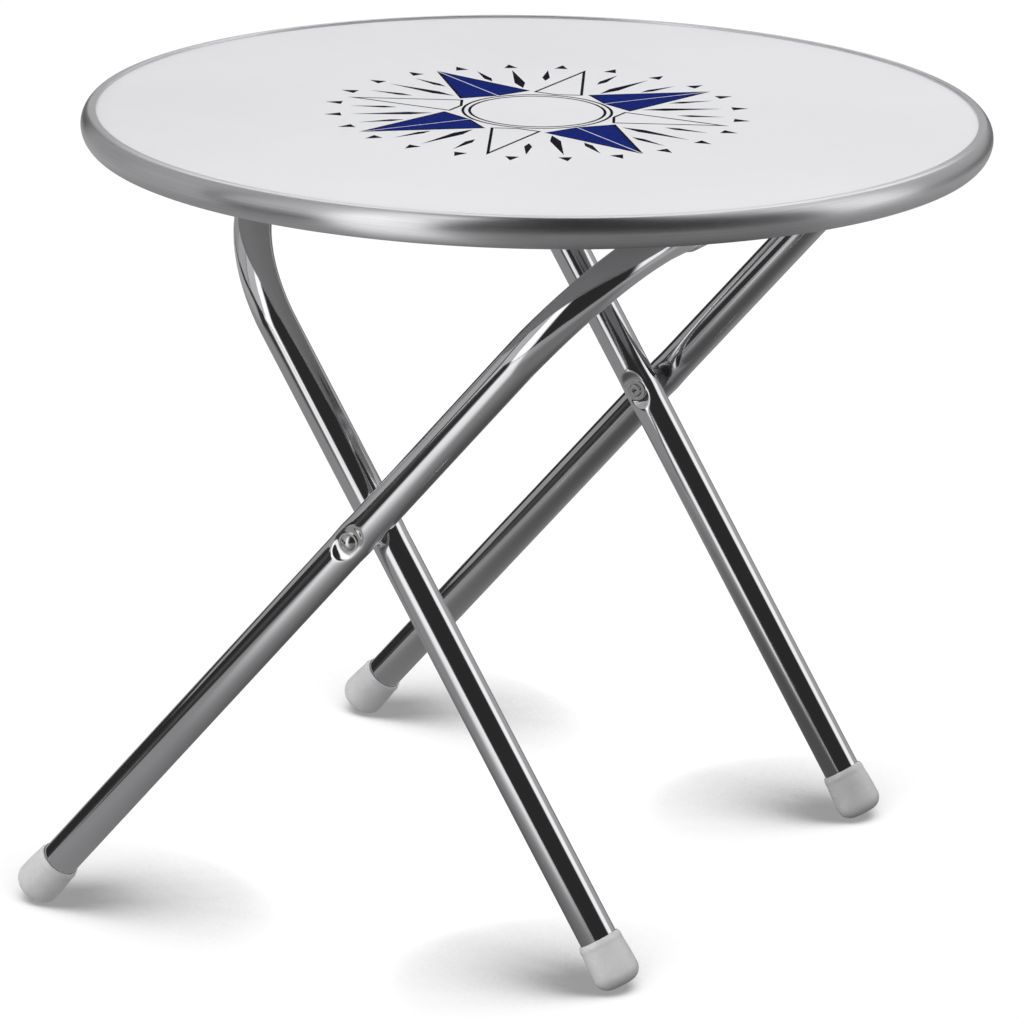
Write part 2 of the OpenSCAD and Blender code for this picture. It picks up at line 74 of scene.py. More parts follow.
class Signal:
    """A socket of a shader tree that Python's operators work on."""

    def __init__(self, graph: "Graph", socket: bpy.types.NodeSocket) -> None:
        """Wraps a socket.

        Args:
            graph: The shader tree that the socket is in.
            socket: An output socket of one of its nodes.
        """
        self.graph = graph
        self.socket = socket

    def _math(self, operation: str, *values: Any) -> "Signal":
        """Adds one Math node.

        Args:
            operation: The operation of the node.
            values: Numbers or signals for its inputs, in order.

        Returns:
            The value that the node gives.
        """
        made = self.graph.node("ShaderNodeMath", {"operation": operation}, dict(enumerate(values)))
        return Signal(self.graph, made.outputs[0])

    def __add__(self, other: Any) -> "Signal":
        """Self plus other."""
        return self._math("ADD", self, other)

    def __radd__(self, other: Any) -> "Signal":
        """Other plus self."""
        return self._math("ADD", other, self)

    def __sub__(self, other: Any) -> "Signal":
        """Self minus other."""
        return self._math("SUBTRACT", self, other)

    def __rsub__(self, other: Any) -> "Signal":
        """Other minus self."""
        return self._math("SUBTRACT", other, self)

    def __mul__(self, other: Any) -> "Signal":
        """Self times other."""
        return self._math("MULTIPLY", self, other)

    def __rmul__(self, other: Any) -> "Signal":
        """Other times self."""
        return self._math("MULTIPLY", other, self)

    def __truediv__(self, other: Any) -> "Signal":
        """Self divided by other."""
        return self._math("DIVIDE", self, other)

    def __pow__(self, other: Any) -> "Signal":
        """Self to the power of other."""
        return self._math("POWER", self, other)

    def root(self) -> "Signal":
        """Square root."""
        return self._math("SQRT", self)

    def size(self) -> "Signal":
        """Value without its sign."""
        return self._math("ABSOLUTE", self)

    def angle_to(self, other: "Signal") -> "Signal":
        """Angle of the point (other, self) round the origin."""
        return self._math("ARCTAN2", self, other)

    def arc(self) -> "Signal":
        """Angle whose sine this is."""
        return self._math("ARCSINE", self)

    def wrapped(self, low: Number, high: Number) -> "Signal":
        """Value brought into a range by whole turns."""
        return self._math("WRAP", self, high, low)

    def between(
        self, low: Number, high: Number, start: Number = 0.0, end: Number = 1.0
    ) -> "Signal":
        """Smooth step.

        Args:
            low: Value where the step starts.
            high: Value where it ends.
            start: Result at and below low.
            end: Result at and above high.

        Returns:
            The stepped value.
        """
        made = self.graph.node(
            "ShaderNodeMapRange",
            {"interpolation_type": "SMOOTHSTEP"},
            {"Value": self, "From Min": low, "From Max": high, "To Min": start, "To Max": end},
        )
        return Signal(self.graph, made.outputs[0])


class Graph:
    """Node tree of one material, with one method that adds any node."""

    def __init__(self, tree: bpy.types.NodeTree) -> None:
        """Starts with an empty tree.

        Args:
            tree: The tree to fill, whose nodes are removed.
        """
        self.tree = tree
        tree.nodes.clear()

    def node(
        self, kind: str, settings: dict[str, Any] | None = None, sockets: dict | None = None
    ) -> bpy.types.Node:
        """Adds one node.

        Args:
            kind: Type name of the node.
            settings: Its own settings, set first. "stops" holds a ramp's (place, colour) pairs.
            sockets: Values or links by the name or number of an input.

        Returns:
            The node.
        """
        made = self.tree.nodes.new(kind)
        for name, value in (settings or {}).items():
            if name == "stops":
                ramp = made.color_ramp
                while len(ramp.elements) < len(value):
                    ramp.elements.new(1.0)
                for element, (place, colour) in zip(ramp.elements, value):
                    element.position = place
                    element.color = (*colour, 1.0)
            else:
                setattr(made, name, value)
        for name, value in (sockets or {}).items():
            target = made.inputs[name]
            if isinstance(value, Signal):
                self.tree.links.new(value.socket, target)
            elif isinstance(value, tuple) and target.type == "RGBA":
                target.default_value = (*value, 1.0)
            else:
                target.default_value = value
        return made

    def signal(
        self, kind: str, settings: dict[str, Any] | None, sockets: dict | None, out: int | str = 0
    ) -> Signal:
        """Adds one node and wraps one of its outputs.

        Args:
            kind: Type name of the node.
            settings: As for node.
            sockets: As for node.
            out: Name or number of the output.

        Returns:
            The wrapped output.
        """
        return Signal(self, self.node(kind, settings, sockets).outputs[out])

    def place(self) -> Signal:
        """Place on the surface in the frame of the CAD model."""
        return self.signal("ShaderNodeTexCoord", None, None, "Object")

    def axes(self, vector: Signal) -> tuple[Signal, Signal, Signal]:
        """The three parts of a vector."""
        split = self.node("ShaderNodeSeparateXYZ", None, {0: vector})
        return Signal(self, split.outputs[0]), Signal(self, split.outputs[1]), Signal(self, split.outputs[2])

    def vector(self, x: Any, y: Any, z: Any) -> Signal:
        """A vector from its three parts."""
        return self.signal("ShaderNodeCombineXYZ", None, {0: x, 1: y, 2: z})

    def noise(
        self, vector: Signal, scale: Number, detail: Number = 2.0, roughness: Number = 0.5
    ) -> Signal:
        """Noise between 0 and 1.

        Args:
            vector: Where it is read.
            scale: Waves per metre.
            detail: Number of finer layers.
            roughness: Strength of the finer layers.

        Returns:
            The noise value.
        """
        sockets = {"Vector": vector, "Scale": scale, "Detail": detail, "Roughness": roughness}
        return self.signal("ShaderNodeTexNoise", None, sockets, 0)

    def blend(self, share: Any, first: Any, second: Any) -> Signal:
        """A colour between two.

        Args:
            share: 0 gives the first colour and 1 the second.
            first: Colour or signal.
            second: Colour or signal.

        Returns:
            The blended colour.
        """
        made = self.node("ShaderNodeMix", {"data_type": "RGBA"}, {0: share, 6: first, 7: second})
        return Signal(self, made.outputs[2])

    def bump(self, height: Signal, depth: Number, normal: Signal | None = None) -> Signal:
        """Bumps from a height signal.

        Args:
            height: Height between 0 and 1.
            depth: Real depth of that range, in metres.
            normal: Normal to start from.

        Returns:
            The bumped normal.
        """
        sockets: dict[str, Any] = {"Height": height, "Distance": depth}
        if normal is not None:
            sockets["Normal"] = normal
        return self.signal("ShaderNodeBump", None, sockets)


# Finishes


class Finish:
    """A finish of the table. A finish says how its surface varies in paint()."""

    name = "finish"

    def paint(self, graph: Graph) -> dict[str, Any]:
        """Gives the values and signals of the main shader's sockets."""
        raise NotImplementedError

    def material(self) -> bpy.types.Material:
        """Makes the material once and gives it again after that."""
        known = bpy.data.materials.get(self.name)
        if known is not None:
            return known
        made = bpy.data.materials.new(self.name)
        made.use_nodes = True
        graph = Graph(made.node_tree)
        shader = graph.node("ShaderNodeBsdfPrincipled", None, self.paint(graph))
        out = graph.node("ShaderNodeOutputMaterial")
        graph.tree.links.new(shader.outputs[0], out.inputs[0])
        return made


@dataclass(frozen=True)
class BrightTube(Finish):
    """Bright chrome plate on bent steel tube."""

    name: str = "bright_chrome_plate"
    colour: Colour = (0.80, 0.79, 0.81)
    shade: Colour = (0.75, 0.74, 0.765)
    haze: float = 0.07

    def paint(self, graph: Graph) -> dict[str, Any]:
        """Plate with polishing lines along the tube, a trace of haze and slight waves."""
        place = graph.place()
        run = graph.signal("ShaderNodeAttribute", {"attribute_name": RUN}, None, "Vector")
        along, out, side = graph.axes(run)
        lines = graph.noise(graph.vector(along * 5, out * 1500, side * 1500), 1.0, 3, 0.6)
        cloud = graph.noise(place, 9, 3)
        smear = graph.noise(place, 70, 4, 0.6)
        haze = self.haze + lines.between(0.35, 0.7, -0.02, 0.05) + smear.between(0.5, 0.8, 0.0, 0.05)
        tint = graph.blend(cloud.between(0.3, 0.7), self.colour, self.shade)
        wave = graph.bump(graph.noise(place, 28, 1), 0.00003)
        return {
            "Base Color": tint,
            "Metallic": 1.0,
            "Roughness": haze,
            "Normal": graph.bump(lines, 0.0000007, wave),
        }


@dataclass(frozen=True)
class DrawnRim(Finish):
    """Satin aluminium profile with fine lines along its length."""

    name: str = "drawn_aluminium"
    colour: Colour = (0.80, 0.80, 0.82)
    haze: float = 0.3
    brushed: float = 0.85
    across_the_lines: float = 0.25

    def paint(self, graph: Graph) -> dict[str, Any]:
        """Lines run round the rim, so the noise is stretched along the turn.

        The lines also spread its reflections upwards and downwards.
        """
        place = graph.place()
        x, y, z = graph.axes(place)
        turn = y.angle_to(x)
        across = (x * x + y * y).root()
        along = graph.vector(turn * 2.0, across * 2600.0, z * 2600.0)
        lines = graph.noise(along, 1.0, 3, 0.6)
        coarse = graph.noise(graph.vector(turn * 1.2, across * 500.0, z * 500.0), 1.0, 2)
        cloud = graph.noise(place, 14, 3)
        haze = self.haze + lines.between(0.3, 0.7, -0.03, 0.05) + cloud.between(0.4, 0.7, 0.0, 0.05)
        tint = graph.blend(lines.between(0.3, 0.7), self.colour, (0.72, 0.72, 0.74))
        return {
            "Base Color": tint,
            "Metallic": 1.0,
            "Roughness": haze,
            "Normal": graph.bump(lines, 0.000005, graph.bump(coarse, 0.000016)),
            "Anisotropic": self.brushed,
            "Anisotropic Rotation": self.across_the_lines,
        }


@dataclass(frozen=True)
class Laminate(Finish):
    """Melamine sheet with a satin face."""

    name: str = "white_laminate"
    colour: Colour = (0.83, 0.83, 0.85)
    shade: Colour = (0.80, 0.80, 0.825)
    gloss: float = 0.4
    sheen: float = 0.1

    def paint(self, graph: Graph) -> dict[str, Any]:
        """A fine orange-peel face with faint wiping marks."""
        place = graph.place()
        peel = graph.noise(place, 1500, 2)
        cloud = graph.noise(place, 5, 3)
        wipe = graph.noise(place, 40, 5, 0.65)
        return {
            "Base Color": graph.blend(cloud.between(0.3, 0.7), self.colour, self.shade),
            "Roughness": self.gloss + wipe.between(0.45, 0.75, 0.0, 0.08),
            "Normal": graph.bump(peel, 0.000006),
            "Specular IOR Level": self.sheen,
        }


@dataclass(frozen=True)
class Ink(Finish):
    """Printed colour under the clear face of the laminate."""

    name: str = "navy_ink"
    colour: Colour = (0.012, 0.022, 0.16)
    thin: Colour = (0.02, 0.035, 0.22)
    gloss: float = 0.4
    sheen: float = 0.0

    def paint(self, graph: Graph) -> dict[str, Any]:
        """Ink that lies a little thinner in places, with the same face as the laminate."""
        place = graph.place()
        peel = graph.noise(place, 1500, 2)
        cover = graph.noise(place, 260, 4, 0.7)
        wipe = graph.noise(place, 40, 5, 0.65)
        return {
            "Base Color": graph.blend(cover.between(0.45, 0.8), self.colour, self.thin),
            "Roughness": self.gloss + wipe.between(0.45, 0.75, 0.0, 0.08),
            "Normal": graph.bump(peel, 0.000006),
            "Specular IOR Level": self.sheen,
        }


@dataclass(frozen=True)
class MouldedPlastic(Finish):
    """Moulded plastic with a fine eroded grain."""

    name: str = "white_foot_plastic"
    colour: Colour = (0.84, 0.84, 0.85)
    worn: Colour = (0.76, 0.76, 0.77)
    gloss: float = 0.24
    grain: float = 0.000006
    soft: float = 0.12

    def paint(self, graph: Graph) -> dict[str, Any]:
        """Grain, slight flow marks and a little scuffing where it is rubbed."""
        place = graph.place()
        grain = graph.noise(place, 1100, 3)
        flow = graph.noise(place, 55, 3)
        scuff = graph.noise(place, 240, 5, 0.7)
        return {
            "Base Color": graph.blend(flow.between(0.4, 0.8), self.colour, self.worn),
            "Roughness": self.gloss + scuff.between(0.45, 0.75, -0.03, 0.14),
            "Normal": graph.bump(grain, self.grain),
            "Subsurface Weight": self.soft,
            "Subsurface Radius": (0.002, 0.002, 0.002),
            "Subsurface Scale": 1.0,
        }


@dataclass(frozen=True)
class PlatedSteel(Finish):
    """Plated steel of the small fittings."""

    name: str = "zinc_plate"
    colour: Colour = (0.66, 0.67, 0.69)
    tint: Colour = (0.58, 0.60, 0.64)
    haze: float = 0.24

    def paint(self, graph: Graph) -> dict[str, Any]:
        """Plate with cloudy spots and small stamping marks."""
        place = graph.place()
        spots = graph.noise(place, 320, 4, 0.6)
        marks = graph.noise(place, 1400, 2)
        return {
            "Base Color": graph.blend(spots.between(0.35, 0.65), self.colour, self.tint),
            "Metallic": 1.0,
            "Roughness": self.haze + spots.between(0.4, 0.7, 0.0, 0.1),
            "Normal": graph.bump(marks, 0.000004),
        }


@dataclass(frozen=True)
class ChipBoard(Finish):
    """Pressed wood chips of the core."""

    name: str = "chip_board"
    colour: Colour = (0.50, 0.34, 0.19)
    pale: Colour = (0.68, 0.52, 0.33)

    def paint(self, graph: Graph) -> dict[str, Any]:
        """Chips of two tones."""
        place = graph.place()
        sockets = {"Vector": place, "Scale": 420.0}
        chips = graph.signal("ShaderNodeTexVoronoi", None, sockets, "Color")
        red, green, _ = graph.axes(chips)
        return {
            "Base Color": graph.blend(red, self.colour, self.pale),
            "Roughness": 0.8,
            "Normal": graph.bump(green, 0.0002),
        }


class Slot(Enum):
    """Material slots of the record, each with the finish that it gets."""

    CORE = "core_wood"
    LAMINATE = "laminate_white"
    BACKING = "laminate_backing"
    NAVY = "print_navy"
    BLACK = "print_black"
    RIM = "rim_aluminium"
    NYLON = "nylon_grey"
    ZINC = "zinc_steel"
    CHROME = "leg_chrome"
    RIVET = "rivet_steel"
    FOOT = "foot_plastic"

    def finish(self) -> Finish:
        """The finish of this slot."""
        return FINISHES[self]


FINISHES: dict[Slot, Finish] = {
    Slot.CORE: ChipBoard(),
    Slot.LAMINATE: Laminate(),
    Slot.BACKING: Laminate("backing_laminate", (0.66, 0.66, 0.66), (0.62, 0.62, 0.62), 0.5),
    Slot.NAVY: Ink(),
    Slot.BLACK: Ink("black_ink", (0.012, 0.012, 0.018), (0.04, 0.04, 0.05)),
    Slot.RIM: DrawnRim(),
    Slot.NYLON: MouldedPlastic("grey_nylon", (0.06, 0.06, 0.065), (0.09, 0.09, 0.095), 0.42, 0.00003, 0.0),
    Slot.ZINC: PlatedSteel(),
    Slot.CHROME: BrightTube(),
    Slot.RIVET: PlatedSteel("nickel_plate", (0.74, 0.73, 0.72), (0.66, 0.65, 0.64), 0.16),
    Slot.FOOT: MouldedPlastic(),
}


# Meshes


class Skin:
    """Mesh that is stretched over a row of rings with equal numbers of points."""

    def __init__(self, name: str, closed: bool = True) -> None:
        """Starts an empty mesh.

        Args:
            name: Name of the piece.
            closed: Whether every ring is a closed loop.
        """
        self.name = name
        self.closed = closed
        self.points: list[Vector] = []
        self.faces: list[tuple[int, ...]] = []
        self.runs: list[tuple[float, float, float]] = []
        self.sides = 0

    def ring(self, points: Sequence[Vector], runs: Sequence[tuple[float, float, float]] = ()) -> None:
        """Adds a ring and joins it to the one before.

        Args:
            points: Points of the ring, in order.
            runs: Place of each point along and across the piece, where its finish needs it.
        """
        first = len(self.points)
        self.sides = len(points)
        self.points.extend(points)
        self.runs.extend(runs)
        if first == 0:
            return
        last = first - self.sides
        for i in range(self.sides if self.closed else self.sides - 1):
            j = (i + 1) % self.sides
            self.faces.append((last + i, last + j, first + j, first + i))

    def close(self) -> None:
        """Fills the ring that was added last."""
        last = len(self.points) - self.sides
        self.faces.append(tuple(range(last, last + self.sides)))

    def build(self) -> bpy.types.Object:
        """Makes the piece, with its faces turned outwards."""
        data = bpy.data.meshes.new(self.name)
        data.from_pydata(self.points, [], self.faces)
        if self.runs:
            attribute = data.attributes.new(RUN, "FLOAT_VECTOR", "POINT")
            attribute.data.foreach_set("vector", [part for run in self.runs for part in run])
        mesh = bmesh.new()
        mesh.from_mesh(data)
        bmesh.ops.recalc_face_normals(mesh, faces=mesh.faces)
        mesh.to_mesh(data)
        mesh.free()
        piece = bpy.data.objects.new(self.name, data)
        bpy.context.scene.collection.objects.link(piece)
        return piece


def dress(piece: bpy.types.Object, slot: Slot, angle: float = 30.0) -> None:
    """Gives a piece its finish and smooth shading.

    Args:
        piece: CAD node or new piece.
        slot: Material slot whose finish it gets.
        angle: Edges sharper than this many degrees stay sharp.
    """
    piece.data.materials.clear()
    piece.data.materials.append(slot.finish().material())
    piece.data.shade_smooth()
    piece.data.set_sharp_from_angle(angle=math.radians(angle))


def soften(piece: bpy.types.Object, width: float, segments: int = 2) -> None:
    """Rounds the sharp edges of a piece.

    Args:
        piece: CAD node or new piece.
        width: Width of the rounding.
        segments: Steps of the rounding.
    """
    bevel = piece.modifiers.new("soft_edges", "BEVEL")
    bevel.width = width
    bevel.segments = segments
    bevel.limit_method = "ANGLE"
    bevel.angle_limit = math.radians(40)
    bevel.harden_normals = True


def stand_for(piece: bpy.types.Object, node: str, body: str, slot: Slot) -> bpy.types.Object:
    """Dresses a new piece and puts it in the place of a CAD node.

    Args:
        piece: The new piece.
        node: Name of the node that it replaces.
        body: Body that it moves with.
        slot: Its material slot.

    Returns:
        The piece.
    """
    dress(piece, slot, 50.0)
    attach(piece, body)
    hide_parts(node)
    return piece


# Pieces


class SubAssembly:
    """A group of pieces that is built and dressed together."""

    def build(self) -> list[bpy.types.Object]:
        """Makes and dresses the pieces, and gives them all."""
        raise NotImplementedError

    def dress_nodes(self, slot: Slot, *names: str, angle: float = 30.0) -> list[bpy.types.Object]:
        """Dresses CAD nodes.

        Args:
            slot: Material slot of the nodes.
            names: Names of the nodes.
            angle: As for dress.

        Returns:
            The nodes' objects.
        """
        nodes = [frame["nodes"][name] for name in names]
        for node in nodes:
            dress(node, slot, angle)
        return nodes


@dataclass
class EdgeRim:
    """Drawn aluminium profile, bent to a ring round the panel."""

    lip: float = 10.0 * MM
    wall: float = 1.6 * MM
    bulge: float = 5.6 * MM
    fillet: float = 0.5 * MM
    tongue: float = 11.0 * MM
    tongue_half: float = 0.8 * MM
    joint: float = math.radians(110)
    joint_gap: float = 0.4 * MM
    blend_turn: float = math.radians(50)
    shoulder: float = 0.8 * MM
    arc_steps: int = 14
    corner_steps: int = 8
    turns: int = 288

    def half_section(self, radius: float, half: float) -> list[tuple[float, float]]:
        """Outer side of the section, from the inner edge of the lip to the outermost line.

        Args:
            radius: Radius of the outermost line.
            half: Half height of the profile.

        Returns:
            Points as radius and height above the middle.
        """
        face = (half * half + self.bulge * self.bulge) / (2 * self.bulge)
        middle = radius - face
        inner = radius - self.lip
        points = [(inner, half - self.wall)]
        for i in range(self.corner_steps + 1):
            turn = math.pi / 2 * i / self.corner_steps
            points.append(
                (
                    inner + self.fillet * (1 - math.cos(turn)),
                    half - self.fillet * (1 - math.sin(turn)),
                )
            )
        touch = (middle + face * math.cos(self.blend_turn), face * math.sin(self.blend_turn))
        slope = (half - touch[1]) / math.cos(self.blend_turn)
        corner = (touch[0] - slope * math.sin(self.blend_turn), half)
        start = (inner + self.shoulder, half)
        for i in range(self.corner_steps + 1):
            t = i / self.corner_steps
            weights = ((1 - t) ** 2, 2 * t * (1 - t), t * t)
            points.append(
                tuple(
                    sum(w * p[axis] for w, p in zip(weights, (start, corner, touch)))
                    for axis in (0, 1)
                )
            )
        for i in range(1, self.arc_steps + 1):
            turn = self.blend_turn * (1 - i / self.arc_steps)
            points.append((middle + face * math.cos(turn), face * math.sin(turn)))
        return points

    def section(self, radius: float, half: float) -> list[tuple[float, float]]:
        """Whole section as a closed loop, with the hollow and the tongue inside."""
        upper = self.half_section(radius, half)
        lower = [(r, -z) for r, z in reversed(upper[:-1])]
        face = (half * half + self.bulge * self.bulge) / (2 * self.bulge)
        hollow = face - self.wall
        inside = half - self.wall
        edge = radius - face + math.sqrt(hollow * hollow - inside * inside)
        root = radius - face + math.sqrt(hollow * hollow - self.tongue_half * self.tongue_half)
        tip = edge - self.tongue
        back = [
            (edge, -inside),
            (root, -self.tongue_half),
            (tip, -self.tongue_half),
            (tip, self.tongue_half),
            (root, self.tongue_half),
            (edge, inside),
        ]
        return upper + lower + back

    def build(self) -> bpy.types.Object:
        """Makes the rim with its butt joint."""
        low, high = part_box("edge_rim")
        radius = high.y
        middle = (low.z + high.z) / 2
        loop = self.section(radius, (high.z - low.z) / 2)
        skin = Skin("rim_profile")
        gap = self.joint_gap / radius / 2
        for i in range(self.turns + 1):
            turn = self.joint + gap + (2 * math.pi - 2 * gap) * i / self.turns
            ring = [Vector((r * math.cos(turn), r * math.sin(turn), middle + z)) for r, z in loop]
            skin.ring(ring)
            if i in (0, self.turns):
                skin.close()
        return stand_for(skin.build(), "edge_rim", "top", Slot.RIM)


@dataclass
class TableTop(SubAssembly):
    """Core, laminates, print and rim."""

    def build(self) -> list[bpy.types.Object]:
        """Dresses the CAD nodes of the top and makes the rim."""
        made = self.dress_nodes(Slot.CORE, "core_panel")
        made += self.dress_nodes(Slot.LAMINATE, "top_laminate")
        made += self.dress_nodes(Slot.BACKING, "backing_laminate")
        made += self.dress_nodes(Slot.NAVY, "compass_blue")
        made += self.dress_nodes(Slot.BLACK, "compass_black")
        made.append(EdgeRim().build())
        return made


@dataclass
class UnderFittings(SubAssembly):
    """Hinges and clips under the top."""

    block_edge: float = 0.8 * MM
    strap_edge: float = 0.3 * MM

    def build(self) -> list[bpy.types.Object]:
        """Dresses the hinge and clip nodes."""
        blocks = self.dress_nodes(
            Slot.NYLON, "hinge_block_near", "hinge_block_far", "latch_clip_near", "latch_clip_far"
        )
        for block in blocks:
            soften(block, self.block_edge)
        straps = self.dress_nodes(Slot.ZINC, "hinge_strap_near", "hinge_strap_far")
        for strap in straps:
            soften(strap, self.strap_edge)
        return blocks + straps + self.dress_nodes(Slot.ZINC, "hinge_screws", "clip_screws")


@dataclass
class LegFrame(SubAssembly):
    """One leg frame: a tube bent twice, pressed flat where it is riveted, and its two feet."""

    which: str
    reach: int
    press_out: float
    press_in: float
    radius: float = 12.5 * MM
    wall: float = 1.2 * MM
    bend: float = 90.0 * MM
    bend_squash: float = 0.07
    squash_run: float = math.radians(14)
    seat_radius: float = 7.2 * MM
    seat_fillet: float = 6.5 * MM
    seat_ease: float = 1.1 * MM
    seat_swell: float = 0.03
    seat_reach: float = 20.0 * MM
    seat_step: float = 0.8 * MM
    leg_step: float = 18.0 * MM
    bore_depth: float = 8.0 * MM
    bend_steps: int = 36
    sides: int = 96

    def __post_init__(self) -> None:
        """Reads the middle line of the tube from its CAD node."""
        low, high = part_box(f"{self.which}_tube")
        pivot = next(j for j in frame["joints"] if j["name"] == "leg_scissor")["pos_m"]
        self.pivot = Vector(pivot)
        self.half = high.y - self.radius
        bar_x = high.x - self.radius if self.reach > 0 else low.x + self.radius
        bar = Vector((bar_x, 0.0, high.z - self.radius))
        self.up = (bar - self.pivot).length
        self.along = (bar - self.pivot).normalized()
        self.lateral = Vector((0.0, 1.0, 0.0))
        self.normal = self.along.cross(self.lateral)
        end_z = low.z + self.radius * abs(self.along.x)
        self.down = (self.pivot.z - end_z) / self.along.z

    def leg_marks(self) -> list[float]:
        """Places of the rings along a leg, closer together at the rivet."""
        top = self.up - self.bend
        marks = [-self.down + self.leg_step * i for i in range(int((top + self.down) / self.leg_step))]
        marks = [mark for mark in marks if abs(mark) > self.seat_reach]
        count = round(2 * self.seat_reach / self.seat_step)
        marks += [-self.seat_reach + self.seat_step * i for i in range(count + 1)]
        return sorted(marks + [top])

    def stations(self) -> Iterator[tuple[float, float, float]]:
        """Places of the rings: distance up the leg, distance from the middle, and turn of the bend."""
        start = self.up - self.bend
        side = self.half - self.bend
        marks = self.leg_marks()
        for mark in marks:
            yield mark, -self.half, 0.0
        for quarter in (0, 1):
            centre = side if quarter else -side
            for i in range(1, self.bend_steps + 1):
                turn = math.pi / 2 * (quarter + i / self.bend_steps)
                yield (
                    start + self.bend * math.sin(turn),
                    centre - self.bend * math.cos(turn),
                    turn,
                )
            if quarter == 0:
                yield self.up, side, math.pi / 2
        for mark in reversed(marks[:-1]):
            yield mark, self.half, math.pi

    def squash(self, turn: float) -> float:
        """Share of the full flattening at a turn of the bend."""
        rest = turn % (math.pi / 2)
        nearest = min(rest, math.pi / 2 - rest)
        share = min(nearest / self.squash_run, 1.0)
        return share * share * (3 - 2 * share)

    def pressed(self, along: float, out: float, side: float) -> float:
        """Where the tools that press the rivet's seats leave a point of the wall.

        Args:
            along: Distance of the point from the rivet, along the leg.
            out: Its distance from the axis, outwards.
            side: Its distance from the axis in the plane of the frame.

        Returns:
            Its new distance from the axis, outwards.
        """
        depth = self.press_out if out > 0 else self.press_in
        away = max(math.hypot(along, side) - self.seat_radius, 0.0)
        seat = self.radius - depth + away * away / (2 * self.seat_fillet)
        gap = abs(out) - seat
        eased = (abs(out) + seat - math.sqrt(gap * gap + self.seat_ease * self.seat_ease)) / 2
        return math.copysign(eased, out)

    def ring(self, u: float, v: float, turn: float, radius: float) -> tuple[list[Vector], list[tuple]]:
        """Points round the tube at one place.

        Args:
            u: Distance up the leg from the rivets.
            v: Distance from the middle of the table.
            turn: Turn of the bend there.
            radius: Radius of the ring.

        Returns:
            The points, and their places along and across the tube.
        """
        flat = self.squash(turn) * self.bend_squash
        on_leg = turn in (0.0, math.pi)
        run = (u - self.up + self.bend) if turn == 0.0 else self.bend * turn
        points, runs = [], []
        for i in range(self.sides):
            phi = 2 * math.pi * i / self.sides
            out = radius * math.cos(phi)
            side = radius * math.sin(phi) * (1 + flat / 4)
            out *= 1 - (flat if out > 0 else flat / 5)
            runs.append((run + (self.up - self.bend - u if turn == math.pi else 0.0), out, side))
            if on_leg and abs(u) <= self.seat_reach and radius == self.radius:
                out = self.pressed(u, out, side)
                side *= 1 + self.seat_swell * math.exp(-((u / self.seat_radius) ** 2))
            place = self.pivot + self.along * (u + out * math.sin(turn))
            place = place + self.lateral * (v - out * math.cos(turn)) + self.normal * side
            points.append(place)
        return points, runs

    def tube(self) -> bpy.types.Object:
        """Makes the bent tube."""
        skin = Skin(f"{self.which}_bent_tube")
        bore = self.radius - self.wall
        places = list(self.stations())
        ends = (places[0], places[-1])
        skin.ring(*self.ring(ends[0][0] + self.bore_depth, ends[0][1], 0.0, bore))
        skin.close()
        skin.ring(*self.ring(*ends[0], bore))
        for place in places:
            skin.ring(*self.ring(*place, self.radius))
        skin.ring(*self.ring(*ends[1], bore))
        skin.ring(*self.ring(ends[1][0] + self.bore_depth, ends[1][1], math.pi, bore))
        skin.close()
        return stand_for(skin.build(), f"{self.which}_tube", f"{self.which}_frame", Slot.CHROME)

    def foot(self, side: int) -> bpy.types.Object:
        """Makes the foot cap on one leg.

        Args:
            side: -1 for the leg near the camera, 1 for the far one.

        Returns:
            The cap.
        """
        cap = FootCap()
        which = "near" if side < 0 else "far"
        base = self.pivot + self.lateral * (side * self.half) - self.along * (self.down + cap.floor)
        skin = Skin(f"{self.which}_cap_{which}")
        for radius, height in cap.profile():
            ring = []
            for i in range(cap.sides):
                turn = 2 * math.pi * i / cap.sides
                spoke = self.lateral * math.cos(turn) + self.normal * math.sin(turn)
                ring.append(base + self.along * height + spoke * radius)
            skin.ring(ring)
            if height in (cap.first_height, cap.floor):
                skin.close()
        return stand_for(
            skin.build(), f"{self.which}_foot_{which}", f"{self.which}_frame", Slot.FOOT
        )

    def build(self) -> list[bpy.types.Object]:
        """Makes the tube and its feet."""
        return [self.tube(), self.foot(-1), self.foot(1)]


